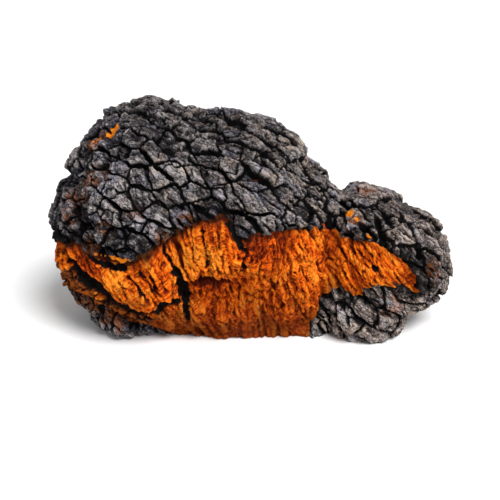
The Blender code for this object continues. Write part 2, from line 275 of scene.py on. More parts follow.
CRUST_LIGHT_AND_SHADE = (
    ((-94, -73, 76), 10, -0.4), ((-87, -76, 74), 10, -0.45), ((-80, -79, 74), 10, -0.45),
    ((-72, -79, 73), 10, -0.5), ((-64, -81, 78), 9, -0.45), ((-58, -81, 81), 9, -0.45),
    ((89, -56, 79), 5, 0.4), ((92, -58, 73), 5, 0.45), ((96, -56, 67), 5, 0.4),
    ((-9, -81, 92), 10, -0.24), ((0, -81, 88), 10, -0.24), ((-102, -67, 81), 10, -0.18),
    ((113, -58, 50), 23, -1.1), ((126, -35, 38), 26, -0.3), ((100, -50, 20), 26, -0.16),
    ((70, -35, 86), 9, -0.24), ((106, -55, 60), 12, -0.3), ((-98, -50, 118), 16, 0.12),
    ((-53, -57, 133), 20, 0.08), ((48, -60, 95), 24, 0.2), ((-90, -70, 86), 26, -0.6),
)
# Places where the crust reaches further over the flesh (positive) or less far: place, radius, height.
RIM_SHIFTS = (
    ((77, -62, 42), 14, 4), ((92, -60, 42), 14, 4.5), ((108, -53, 57), 8, 4.5), ((104, -54, 39), 8, 4),
    ((107, -53, 47), 6, -3),
)
# Where the outline swells (positive) or sinks past the form: place, radius, height.
SWELLS = (
    ((-131, -41, 72), 22, -3.5), ((96, -15, 92), 26, -3.5), ((129, -30, 50), 24, -3),
    ((27, 1, 125), 26, 3), ((-80, -45, 6), 30, -5), ((-105, -45, 18), 20, -3), ((-128, -29, 37), 9, -3),
    ((-15, -5, 140), 22, 1.8), ((-38, -10, 142), 16, -1.8),
)


# The form

def new_object(name, mesh):
    piece = bpy.data.objects.new(name, mesh)
    bpy.context.scene.collection.objects.link(piece)
    return piece


def finished_mesh(piece):
    """The piece's mesh with its modifiers applied. The piece itself is removed."""
    graph = bpy.context.evaluated_depsgraph_get()
    graph.update()
    mesh = bpy.data.meshes.new_from_object(piece.evaluated_get(graph))
    bpy.data.objects.remove(piece)
    return mesh


def ball_mesh(name, balls):
    surface = bmesh.new()
    for centre, radii in balls:
        placed = Matrix.LocRotScale(Vector(centre), None, Vector(radii))
        bmesh.ops.create_icosphere(surface, subdivisions=5, radius=1.0, matrix=placed)
    mesh = bpy.data.meshes.new(name)
    surface.to_mesh(mesh)
    surface.free()
    return mesh


def add_skin(piece, voxel):
    skin = piece.modifiers.new("skin", "REMESH")
    skin.mode = "VOXEL"
    skin.voxel_size = voxel


def add_softening(piece, rounds):
    soften = piece.modifiers.new("soften", "SMOOTH")
    soften.factor = 0.5
    soften.iterations = rounds


def smooth_form():
    """The swellings run together into one smooth closed surface with an undercut below the flesh."""
    hollow = new_object("hollow", ball_mesh("hollow", [HOLLOW]))
    form = new_object("form", ball_mesh("form", [swelling[1:] for swelling in SWELLINGS]))
    add_skin(form, FORM_VOXEL)
    undercut = form.modifiers.new("undercut", "BOOLEAN")
    undercut.operation = "DIFFERENCE"
    undercut.solver = "EXACT"
    undercut.object = hollow
    add_skin(form, FORM_VOXEL)
    add_softening(form, FORM_SOFTENING)
    mesh = finished_mesh(form)
    bpy.data.objects.remove(hollow)
    return mesh


def fine_skin(form, voxel):
    """The same surface again, with the small faces that the cracks need."""
    piece = new_object("fine", form.copy())
    add_skin(piece, voxel)
    add_softening(piece, 4)
    return finished_mesh(piece)


def read_points(mesh, field):
    values = np.empty(len(mesh.vertices) * 3)
    mesh.vertices.foreach_get(field, values)
    return values.reshape(-1, 3)


# Lines round the conk

def value_at(line, azimuth):
    """Value of a line of (azimuth, value) points, which closes on itself round the conk."""
    for (start, low), (end, high) in zip(line, line[1:] + ((line[0][0] + 360, line[0][1]),)):
        for turned in (azimuth, azimuth + 360):
            if start <= turned <= end:
                share = (turned - start) / (end - start)
                return low + (high - low) * share * share * (3 - 2 * share)
    return line[0][1]


def values_at(line, azimuths):
    """The same for an array of azimuths."""
    line = np.array(line + ((line[0][0] + 360, line[0][1]),), dtype=float)
    turned = np.where(azimuths < line[0, 0], azimuths + 360, azimuths)
    at = np.clip(np.searchsorted(line[:, 0], turned, side="right") - 1, 0, len(line) - 2)
    share = (turned - line[at, 0]) / (line[at + 1, 0] - line[at, 0])
    return line[at, 1] + (line[at + 1, 1] - line[at, 1]) * share * share * (3 - 2 * share)


def azimuth_of(point):
    return math.degrees(math.atan2(point.x, -point.y))


def azimuths_of(points):
    return np.degrees(np.arctan2(points[:, 0], -points[:, 1]))


def in_flesh(point):
    azimuth = azimuth_of(point)
    return value_at(SILL, azimuth) < point.z < value_at(RIM, azimuth)


# Roughness in space

def smooth(share):
    share = np.clip(share, 0.0, 1.0)
    return share * share * (3 - 2 * share)


def lumps(points, size, seed):
    """Soft random lumps of about the given size, between -1 and 1."""
    draw = np.random.RandomState(seed)
    leans = draw.normal(size=(256, 3))
    leans /= np.linalg.norm(leans, axis=1)[:, None]
    shuffled = draw.permutation(256)
    place = points / size + draw.uniform(0, 50, 3)
    corner = np.floor(place).astype(np.int64)
    within = place - corner
    blend = within**3 * (within * (within * 6 - 15) + 10)
    total = np.zeros(len(points))
    for step in itertools.product((0, 1), repeat=3):
        x, y, z = (corner + step).T
        lean = leans[shuffled[(shuffled[(shuffled[x & 255] + y) & 255] + z) & 255]]
        weight = np.prod(np.where(np.array(step) == 1, blend, 1 - blend), axis=1)
        total += weight * (lean * (within - step)).sum(axis=1)
    return total * 1.6


def layered(points, layers):
    """The sum of lumps of several sizes."""
    return sum(amount * lumps(points, size, seed) for amount, size, seed in layers)


def crumbs(points, size, seed):
    """Random cells of about the given size: a number for each, and the distance to its border."""
    draw = np.random.RandomState(seed)
    shuffled = draw.permutation(1024)
    offsets = draw.uniform(0, 1, (1024, 3))
    place = points / size
    corner = np.floor(place).astype(np.int64)
    nearest = np.full(len(points), 9.0)
    second = np.full(len(points), 9.0)
    number = np.zeros(len(points), dtype=np.int64)
    for step in itertools.product((-1, 0, 1), repeat=3):
        x, y, z = (corner + step).T
        key = shuffled[(shuffled[(shuffled[x & 1023] + y) & 1023] + z) & 1023]
        away = np.linalg.norm(corner + step + offsets[key] - place, axis=1)
        closer = away < nearest
        second = np.where(closer, nearest, np.minimum(second, away))
        number = np.where(closer, key, number)
        nearest = np.where(closer, away, nearest)
    return draw.uniform(-1, 1, 1024)[number], (second - nearest) * size


def shaken(points, *shakes):
    """The points moved about by each shake, so that borders drawn through them run crooked."""
    for amount, size, seed in shakes:
        moves = [lumps(points, size, seed + axis) for axis in range(3)]
        points = points + amount * np.stack(moves, axis=1)
    return points


def beside_border(gap, flat, fall):
    """1 at a border and as far as flat from it, then down to 0 over the fall."""
    return 1 - smooth((gap - flat) / fall)


def domed(gap, width):
    """0 at a border, rising to 1 inside, steeply at first."""
    return 1 - np.exp(-gap / width)


def squeezed(points, grain, stretch):
    """The points with their distances along the grain made shorter, to draw long marks with."""
    grain = np.broadcast_to(grain, points.shape)
    along = (points * grain).sum(axis=1)
    return points - (1 - 1 / stretch) * along[:, None] * grain


# Cells: plates, ridges and fibres

def border_gap(square, pull, own, other):
    """How far each point lies from the border between two of the cells round it."""
    rows = np.arange(len(square))
    apart = np.linalg.norm(pull[rows, other] - pull[rows, own], axis=1)
    return (square[rows, other] - square[rows, own]) / (2 * apart + 1e-9)


class Cells:
    """Centres that plates or fibres grow round, each with its grain, stretch and random lift."""

    def __init__(self, places, normals, grains, stretches):
        self.place = np.array(places)
        self.normal = np.array(normals)
        self.grain = np.array(grains)
        self.stretch = np.array(stretches)
        self.lift = np.zeros(len(places))
        self.slope = np.zeros((len(places), 3))

    def only(self, keep):
        chosen = Cells(self.place[keep], self.normal[keep], self.grain[keep], self.stretch[keep])
        chosen.lift, chosen.slope = self.lift[keep], self.slope[keep]
        return chosen

    def lift_by_chance(self, seed, tilt_deg):
        draw = random.Random(seed)
        for number, normal in enumerate(self.normal):
            self.lift[number] = draw.uniform(-1, 1)
            lean = np.array([draw.uniform(-1, 1) for _ in range(3)])
            axis = np.cross(lean, normal)
            axis /= np.linalg.norm(axis)
            turn = math.radians(draw.uniform(-1, 1) * tilt_deg)
            self.slope[number] = turn * np.cross(normal, axis)

    def measure(self, points, count):
        """For each point: the cells round it, and the square and pull of its distance from each."""
        tree = KDTree(len(self.place))
        for number, place in enumerate(self.place):
            tree.insert(place, number)
        tree.balance()
        near = np.array([[found[1] for found in tree.find_n(point, count)] for point in points])
        away = points[:, None, :] - self.place[near]
        grain = self.grain[near]
        shorter = 1 - 1 / self.stretch[near] ** 2
        along = (away * grain).sum(axis=2)
        square = (away**2).sum(axis=2) - shorter * along**2
        return near, square, away - (shorter * along)[:, :, None] * grain

    def borders(self, points, count):
        """For each point: its cell, the cell next to it, and how far the border between them is."""
        near, square, pull = self.measure(points, count)
        first, second = np.argsort(square, axis=1)[:, :2].T
        rows = np.arange(len(points))
        return near[rows, first], near[rows, second], border_gap(square, pull, first, second)

    def inside(self, points, count, chosen):
        """How far each point lies inside the ground of the chosen cells. It is negative outside."""
        near, square, pull = self.measure(points, count)
        some = chosen[near]
        own = np.argmin(np.where(some, square, 1.0), axis=1)
        other = np.argmin(np.where(some, 1.0, square), axis=1)
        depth = border_gap(square, pull, own, other)
        return np.where(some.all(axis=1), FAR_WITHIN, np.where(some.any(axis=1), depth, -FAR_WITHIN))

    def fit_to_surface(self, times=1.0):
        """Makes the cells that many times as long, and round where their grain runs into the surface."""
        flat = 1 - (self.normal @ PLATE_RUN) ** 2
        self.stretch = 1 + (self.stretch * times - 1) * flat

    def sideways(self, first, second):
        """How far a border runs along the grain: 1 beside a cell, 0 at its ends."""
        away = self.place[second] - self.place[first]
        grain = self.grain[first]
        run = (away * grain).sum(axis=1)
        along = np.abs(run) / self.stretch[first]
        across = np.linalg.norm(away - run[:, None] * grain, axis=1)
        return across / (across + along + 1e-9)

    def tilt(self, points, cell, lean=0.0):
        """Height that the lean of each point's cell gives it."""
        return ((points - self.place[cell]) * (self.slope[cell] + lean)).sum(axis=1)


def from_left(ends, point):
    """A value that goes from its left end to its right end across the middle of the conk."""
    share = min(max(0.5 + point.x / 0.12, 0.0), 1.0)
    return ends[0] + (ends[1] - ends[0]) * share


def laid_on(grain, normal):
    """The grain's direction on the surface."""
    return (grain - normal * grain.dot(normal)).normalized()


def ridge_grain(point):
    lean = math.radians(value_at(RIDGE_LEAN, azimuth_of(point)))
    return Vector((math.sin(lean), 0.0, -math.cos(lean)))


def growth_at(point, normal):
    """Spacing of plates and ridges across the grain, stretch along it, and its direction there."""
    if point.z < BURIED_BELOW:
        return BURIED_SPACING, 1.0, laid_on(PLATE_GRAIN, normal)
    if in_flesh(point):
        return RIDGE_SPACING, RIDGE_STRETCH, laid_on(ridge_grain(point), normal)
    return PLATE_SPACING, from_left(PLATE_STRETCH, point), laid_on(PLATE_GRAIN, normal)


def chunk_growth(point, normal):
    """The same for the chunks that the plates split into."""
    lean = math.radians(value_at(CHUNK_LEAN, azimuth_of(point)))
    grain = Vector((math.cos(lean), 0.0, -math.sin(lean)))
    return from_left(CHUNK_SPACING, point), from_left(CHUNK_STRETCH, point), laid_on(grain, normal)


def fibre_growth(point, normal):
    """The same for the fibres of the flesh."""
    return FIBRE_SPACING, FIBRE_STRETCH, laid_on(ridge_grain(point), normal)


def scatter(mesh, growth, seed, keep=None):
    """Cells on the mesh, as close as their spacing lets them lie."""
    draw = random.Random(seed)
    order = list(range(len(mesh.vertices)))
    draw.shuffle(order)
    placed = np.empty((len(order), 3))
    found = []
    for index in order:
        point, normal = mesh.vertices[index].co, mesh.vertices[index].normal
        if keep and not keep(point):
            continue
        spacing, stretch, grain = growth(point, normal)
        spacing *= draw.uniform(1 - PLATE_UNEVEN, 1 + PLATE_UNEVEN)
        away = placed[:len(found)] - np.array(point)
        square = (away**2).sum(axis=1) - (1 - 1 / stretch**2) * (away @ np.array(grain)) ** 2
        if not (square < spacing**2).any():
            placed[len(found)] = point
            found.append((tuple(point), tuple(normal), tuple(grain), stretch))
    return Cells(*zip(*found))


def pair_chance(first, second, seed):
    """A random number for each pair of neighbours, the same from both sides."""
    mixed = np.sin((first + second) * 12.9898 + (first * second) * 0.78233 + seed * 3.7) * 43758.5453
    return mixed - np.floor(mixed)


def levelled(values, first, second, gap, width):
    """A value of each cell, evened out with its neighbour's towards their border."""
    own, other = values[first], values[second]
    return own + (other - own) * 0.5 * beside_border(gap, 0, width)


def raised_over(mesh, height, rounds):
    """How far each vertex stands above the ones round it."""
    ends = np.empty(len(mesh.edges) * 2, dtype=np.int32)
    mesh.edges.foreach_get("vertices", ends)
    start, end = ends.reshape(-1, 2).T
    count = np.bincount(start, minlength=len(height)) + np.bincount(end, minlength=len(height)) + 1
    evened = height.copy()
    for _ in range(rounds):
        total = evened + np.bincount(start, evened[end], len(height))
        total += np.bincount(end, evened[start], len(height))
        evened = total / count
    return height - evened


# Crust

def beyond_rim(points):
    """How far above the crust's lower edge, or below the upper edge of the crust that wraps under."""
    azimuths = azimuths_of(points)
    beyond = np.maximum(points[:, 2] - values_at(RIM, azimuths), values_at(SILL, azimuths) - points[:, 2])
    return np.maximum(beyond, 0.001 * (azimuths - FLESH_END)) + in_metres(swell(points, RIM_SHIFTS))


def crust_cover(points, chunks):
    """How far each point lies within the crust, whose edge runs round whole chunks."""
    crooked = shaken(points, RIM_SHAKE)
    blocky = chunks.inside(crooked, 10, beyond_rim(chunks.place) > 0)
    plain = beyond_rim(crooked) + 0.0025 * lumps(points, 0.007, 305)
    return 0.5 * blocky + 0.5 * np.clip(plain, -FAR_WITHIN, FAR_WITHIN)


def in_metres(millimetres):
    return np.array(millimetres) / 1000


def spots(points, places):
    """How strongly each point lies in one of the spots, from 0 to 1."""
    total = np.zeros(len(points))
    for place, radius, amount in places:
        away = np.linalg.norm(points - in_metres(place), axis=1)
        total = np.maximum(total, amount * smooth(1.6 - away / in_metres(radius) * 1.2))
    return total


def swell(points, places):
    """The sum of soft hills: place, radius and height of each."""
    total = np.zeros(len(points))
    for place, radius, height in places:
        away = np.linalg.norm(points - in_metres(place), axis=1)
        total += height * smooth(1.2 - away / in_metres(radius))
    return total


def clefts(points, normals, places):
    """How deep the clefts cut at each point, and how dark the painted shade in them is."""
    depth, black = np.zeros(len(points)), np.zeros(len(points))
    for deepest, half_width, blackness, line in places:
        line = in_metres(line)
        away = np.full(len(points), 1.0)
        for start, end in zip(line, line[1:]):
            run = end - start
            share = np.clip(((points - start) @ run) / (run @ run), 0, 1)
            offset = points - start - share[:, None] * run
            above = (offset * normals).sum(axis=1)[:, None]
            offset -= 0.9 * above * normals
            beyond = np.maximum(np.abs(above[:, 0]) - CLEFT_REACH, 0)
            away = np.minimum(away, np.linalg.norm(offset, axis=1) + beyond)
        within = beside_border(away / in_metres(half_width), 0.35, 0.95)
        depth = np.maximum(depth, in_metres(deepest) * within)
        black = np.maximum(black, blackness * within)
    return depth, black


def clumped(points):
    """Clumps of plates that stand high or low, and the valleys between them on the left."""
    clump, gap = crumbs(shaken(points, CLUMP_SHAKE), CLUMP_SIZE, 39)
    valley = beside_border(gap, 0, VALLEY_WIDTH) * smooth(0.45 - points[:, 0] / 0.10)
    return CLUMP_RISE * clump * smooth(gap / 0.004) - VALLEY_DEPTH * valley, valley


def flaked(points, normals, block):
    """Thin layers along the plates' grain, some of them broken off: height, layer and fissure."""
    flat = 1 - (normals @ PLATE_RUN) ** 2
    layer, gap = crumbs(shaken(squeezed(points, PLATE_RUN, 3.2), FLAKE_SHAKE), FLAKE_SIZE, 36)
    fissure = beside_border(gap, 0, FISSURE_WIDTH) * flat
    gone = smooth((-layer - 0.45) / 0.1) * smooth(gap / 0.0005)
    height = FLAKE_RISE * layer * smooth(gap / 0.0004) - FISSURE_DEPTH * fissure - FLAKE_LOST * gone
    return block * (0.25 + 0.75 * flat) * height, layer, fissure


def weathered(points, block):
    """Fine roughness, less of it in the cracks between blocks."""
    rough = layered(points, CRUST_ROUGHNESS)
    rough += 0.00055 * lumps(squeezed(points, PLATE_RUN, 5.0), 0.0019, 44)
    return rough * (0.35 + 0.65 * block)


def crust_relief(points, normals, plates, chunks, cover):
    """Height of the crust over the form, and what its finish needs to know."""
    at_edge = smooth(1 - cover / 0.010)
    to_right = smooth(points[:, 0] / 0.05)
    to_left = smooth((-0.083 - points[:, 0]) / 0.05)
    on_lobe = smooth((points[:, 0] - 0.055) / 0.02)
    facing_up = smooth((normals[:, 2] - 0.42) / 0.42)

    cell, next_cell, gap = plates.borders(shaken(points, *PLATE_SHAKES), 12)
    beside = smooth((plates.sideways(cell, next_cell) - 0.30) / 0.40)
    openness = pair_chance(cell, next_cell, 5) ** 2.2 * (0.30 + 0.70 * beside) + 0.10 * beside
    openness *= 1 - 0.5 * on_lobe
    block = smooth((gap - HAIRLINE - CRACK_WIDTH * openness) / CRACK_WALL)
    top = PLATE_RISE + plates.lift[cell] * PLATE_RISE_SPREAD
    top += plates.tilt(points, cell, SHINGLE)
    top += (PLATE_DOME + PLATE_DOME_AT_CRACK * openness) * domed(gap, PLATE_DOME_WIDTH)

    chunk, next_chunk, chunk_gap = chunks.borders(shaken(points, CHUNK_SHAKE), 10)
    split = pair_chance(chunk, next_chunk, 7) * 1.5 - 0.65
    split = np.clip(split + 0.8 * at_edge + 0.55 * to_right - 0.75 * on_lobe, 0, 1)
    seam = split * beside_border(chunk_gap, (SEAM_WIDTH + SEAM_WIDTH_RIGHT * to_right) * split, SEAM_WALL)
    lost = smooth((-chunks.lift - 0.74) / 0.10)
    stepped = chunks.lift * CHUNK_RISE - CHUNK_LOST * lost
    top += levelled(stepped, chunk, next_chunk, chunk_gap, SEAM_WALL)
    top += chunks.tilt(points, chunk)
    top += CHUNK_DOME_AT_RIM * at_edge * domed(chunk_gap, 0.0012)
    top -= RIM_THINNING * smooth(1 - cover / RIM_THINNING_WIDTH)

    floor = top * CRACK_FLOOR * np.clip(1 - openness, 0, 1) ** 2
    height = floor + (top - floor) * block
    height -= SEAM_DEPTH * seam * block * (1 + 0.6 * at_edge + 0.5 * to_right)
    clump_height, valley = clumped(points)
    flake_height, layer, fissure = flaked(points, normals, block)
    height += clump_height
    height += flake_height
    height += layered(points, CRUST_SWELL)
    cut, black = clefts(shaken(points + CENTRING, *CREVICE_SHAKES), normals, CREVICES)
    height += weathered(points, block) + in_metres(swell(points, SWELLS)) - cut

    # Painted shade: the crust darker beside open cracks, beside split seams between chunks, and in the
    # valleys between clumps.
    hollow_shade = (0.35 + 0.60 * openness) * beside_border(gap, 0, 0.0034)
    hollow_shade += 0.6 * split * beside_border(chunk_gap, 0, 0.0022)
    hollow_shade += 0.5 * valley
    tone = 0.76 + 0.25 * plates.lift[cell] + 0.2 * chunks.lift[chunk] - 0.3 * lost[chunk]
    # Besides the random tone: painted shade, darker in the valleys between clumps, towards the left, and
    # where the crust faces up.
    tone += 0.20 * layer - 0.25 * valley - to_left - 0.52 * facing_up
    return height, {
        # Painted shade: where the crust is made black in its cracks, seams, fissures and crevices.
        "crack": np.maximum(1 - block * (1 - 0.90 * seam) * (1 - 0.35 * fissure), black),
        "hollow_shade": np.clip(hollow_shade, 0, 1),
        "tone": tone,
    }


# Flesh

def fibre_grain(points):
    """Direction that the fibres run in at each point."""
    lean = np.radians(values_at(RIDGE_LEAN, azimuths_of(points)))
    return np.stack([np.sin(lean), np.zeros(len(lean)), -np.cos(lean)], axis=1)


def fibrous(points, grain, fibres):
    """Fibres with grooves between some of them, and crumbs along them: height, groove and fibre."""
    fibre, next_fibre, gap = fibres.borders(shaken(points, *FIBRE_SHAKES), 16)
    openness = pair_chance(fibre, next_fibre, 11)
    beside = smooth((fibres.sideways(fibre, next_fibre) - 0.30) / 0.35)
    broken = smooth(0.55 + 0.9 * lumps(points, 0.0045, 65))
    groove = beside_border(gap, 0.0004 * openness, GROOVE_WALL) * beside * openness * broken
    height = levelled(fibres.lift * FIBRE_RISE, fibre, next_fibre, gap, 0.0009)
    height += FIBRE_DOME * domed(gap, 0.0010) - GROOVE_DEPTH * groove
    crumb, crumb_gap = crumbs(shaken(squeezed(points, grain, 2.2), CRUMB_SHAKE), CRUMB_SIZE, 68)
    height += CRUMB_RISE * crumb * smooth(crumb_gap / 0.0005)
    height += 0.00045 * lumps(squeezed(points, grain, 4.0), 0.0015, 71)
    return height, groove, fibre


def crumbly(points, chunks):
    """Rotten flesh, which breaks into clods: height, seam between clods, and clod."""
    clod, next_clod, gap = chunks.borders(shaken(points, CLOD_SHAKE), 8)
    seam = beside_border(gap, 0.0004, CLOD_SEAM_WALL)
    height = levelled(chunks.lift * CLOD_RISE, clod, next_clod, gap, 0.0010) - CLOD_SEAM_DEPTH * seam
    return height + CLOD_BASE, seam, clod


def flesh_relief(points, normals, ridges, fibres, chunks):
    """Height of the broken flesh over the form, and what its finish needs to know."""
    cell, next_cell, gap = ridges.borders(shaken(points, RIDGE_SHAKE), 14)
    openness = pair_chance(cell, next_cell, 9)
    beside = smooth((ridges.sideways(cell, next_cell) - 0.35) / 0.4)
    height = RIDGE_RISE + levelled(ridges.lift * RIDGE_RISE_SPREAD, cell, next_cell, gap, 0.0022)
    height += ridges.tilt(points, cell)
    valley = beside_border(gap, 0.0005 * openness, RIDGE_VALLEY_WALL) * openness * beside
    height -= RIDGE_VALLEY_DEPTH * valley

    grain = fibre_grain(points)
    placed = points + CENTRING - 0.0012 * normals
    rot = smooth(spots(placed, ROTS) + 0.25 * lumps(points, 0.006, 76))
    sound_height, groove, fibre = fibrous(points, grain, fibres)
    rotten_height, clod_seam, clod = crumbly(points, chunks)
    height += sound_height * (1 - rot) + rotten_height * rot
    height += layered(points, FLESH_ROUGHNESS)
    # Painted shade: how deep the clefts cut and how dark they are made.
    cut, shaded_cleft = clefts(shaken(placed, *CLEFT_SHAKES), normals, CLEFTS)
    height += in_metres(swell(points, SWELLS)) - cut - FLESH_SINK

    across = np.cross(grain, normals)
    across /= np.linalg.norm(across, axis=1)[:, None] + 1e-9
    # Painted shade: where the flesh is made dark in its valleys, grooves, clod seams and clefts.
    crack = (0.7 * valley + groove) * (1 - rot) + clod_seam * rot + 0.35 * smooth(cut / 0.006)
    return height, {
        "crack": np.clip(crack, 0, 1),
        "tone": 0.5 + 0.3 * fibres.lift[fibre] * (1 - rot) + 0.2 * ridges.lift[cell],
        # Painted light and shade: the flesh brighter in some listed places and darker in others.
        "light_and_shade": swell(placed, FLESH_LIGHT_AND_SHADE),
        "rot": rot * (0.85 + 0.25 * chunks.lift[clod]),
        "rust": spots(placed, STRIPS),
        "cleft_shade": shaded_cleft,
        "fibre": np.stack([(points * way).sum(axis=1) for way in (across, grain, normals)], axis=1),
    }


# Pieces

def with_fields(mesh, fields):
    """Writes each field to the mesh's vertices, where the finishes read it."""
    for name, values in fields.items():
        kind, part = ("FLOAT_VECTOR", "vector") if values.ndim == 2 else ("FLOAT", "value")
        field = mesh.attributes.new(name, kind, "POINT")
        field.data.foreach_set(part, values.astype(np.float32).ravel())


def cut_flat(surface, place, outward):
    """Cuts all that lies outward of the place away, and closes the cut with flat faces of bare flesh."""
    everything = surface.verts[:] + surface.edges[:] + surface.faces[:]
    bmesh.ops.bisect_plane(surface, geom=everything, dist=1e-6, plane_co=place, plane_no=outward,
                           clear_outer=True)
    rim = [edge for edge in surface.edges if edge.is_boundary]
    filled = bmesh.ops.holes_fill(surface, edges=rim, sides=0)
    for face in filled["faces"]:
        face.smooth = False
        face.material_index = 1


def cut_mesh(mesh, planes):
    """Cuts the mesh flat at each plane, given as a place and the direction of what falls away."""
    surface = bmesh.new()
    surface.from_mesh(mesh)
    for place, outward in planes:
        cut_flat(surface, place, outward)
    bmesh.ops.triangulate(surface, faces=[face for face in surface.faces if len(face.verts) > 4])
    surface.to_mesh(mesh)
    surface.free()


def how_raised(mesh, height, voxel):
    """How far each vertex stands above its surroundings, between -1 and 1."""
    rounds = round((RAISED_WITHIN / voxel) ** 2)
    return np.clip(raised_over(mesh, height, rounds) / RAISED_FULLY, -1, 1)


def finished_piece(name, mesh, planes):
    """Cuts the rough skin flat where it ends, thins its plain stretches, and centres it."""
    surface = bmesh.new()
    surface.from_mesh(mesh)
    for face in surface.faces:
        face.smooth = True
    for place, outward in planes:
        cut_flat(surface, place, outward)
    bmesh.ops.translate(surface, verts=surface.verts, vec=CENTRING)
    bmesh.ops.triangulate(surface, faces=surface.faces)
    count = len(surface.faces)
    surface.to_mesh(mesh)
    surface.free()
    piece = new_object(name + "_skin", mesh)
    thin = piece.modifiers.new("thin", "DECIMATE")
    thin.ratio = min(1.0, MOST_TRIANGLES / count)
    return new_object(name, finished_mesh(piece))


def make_crust(form, plates, chunks, name, voxel, side):
    """One half of the crust. It is cut again, where the halves meet, once it is rough."""
    mesh = fine_skin(form, voxel)
    cut_mesh(mesh, [((0, CRUST_SPLIT + SKIRT_BEYOND_SPLIT * side, 0), (0, side, 0))])
    points, normals = read_points(mesh, "co"), read_points(mesh, "normal")
    cover = crust_cover(points, chunks)
    height, fields = crust_relief(points, normals, plates, chunks, cover)
    sunk = -CRUST_HIDES - CRUST_HIDES_DEEPER * smooth(-cover / 0.010)
    height = sunk + (height - sunk) * smooth(cover / RIM_FALL)
    placed = points + normals * height[:, None]
    # Painted highlight and shade: the finish lightens the crust where it stands above its surroundings and
    # darkens it in hollows.
    fields["raised"] = how_raised(mesh, height, voxel)
    # Painted light and shade: the crust brighter in some listed places and darker in others, such as under
    # the rim and on the lobe's shadowed side.
    fields["tone"] += swell(placed + CENTRING, CRUST_LIGHT_AND_SHADE)
    fields["rust"] = spots(placed + CENTRING, RUSTS)
    fields["chip"] = spots(placed + CENTRING, CHIPS)
    # Painted shade: the crust darker near its lower edge, where it turns under.
    fields["edge"] = smooth(1 - cover / 0.012)
    mesh.vertices.foreach_set("co", placed.ravel())
    with_fields(mesh, fields)
    meeting = ((0, CRUST_SPLIT + CRUST_OVERLAP * side, 0), (0, side, 0))
    return finished_piece(name, mesh, [((0, 0, 0), (0, 0, -1)), meeting])


def make_flesh(form, ridges, chunks):
    """The flesh: a slab of the form's front, rough where it shows and sunk where the crust covers it."""
    mesh = fine_skin(form, FLESH_VOXEL)
    cut_mesh(mesh, [((0, 0, FLESH_TOP), (0, 0, 1)), ((0, FLESH_BACK, 0), (0, 1, 0)),
                    ((0, 0, FLESH_BOTTOM), (0, 0, -1))])
    points, normals = read_points(mesh, "co"), read_points(mesh, "normal")
    shown = beyond_rim(points) < FLESH_REACHES_UNDER
    cover = np.full(len(points), FAR_WITHIN)
    cover[shown] = crust_cover(points[shown], chunks)
    fibres = scatter(form, fibre_growth, SEED + 30, keep=in_flesh)
    fibres.lift_by_chance(SEED + 31, 0.0)
    relief, shown_fields = flesh_relief(points[shown], normals[shown], ridges, fibres, chunks)
    height = np.full(len(points), -FLESH_HIDES)
    height[shown] = relief
    height += (-FLESH_HIDES - height) * smooth((cover - 0.002) / 0.004)
    fields = {}
    for name, values in shown_fields.items():
        fields[name] = np.zeros((len(points),) + values.shape[1:])
        fields[name][shown] = values
    # Painted shade: the flesh dark beside and under the crust's edge, less so to the right.
    fields["edge"] = smooth(1 + cover / 0.009) * (1 - 0.45 * smooth(points[:, 0] / 0.04))
    # Painted highlight and shade: the finish lightens the flesh where it stands above its surroundings and
    # darkens it in hollows.
    fields["raised"] = how_raised(mesh, height, FLESH_VOXEL)
    inner = (points[:, 1] > FLESH_BACK - 0.0005) | (points[:, 2] > FLESH_TOP - 0.0005)
    height[inner] = 0.0
    mesh.vertices.foreach_set("co", (points + normals * height[:, None]).ravel())
    with_fields(mesh, fields)
    return finished_piece("flesh", mesh, [((0, 0, 0.0003), (0, 0, -1))])


# Finishes

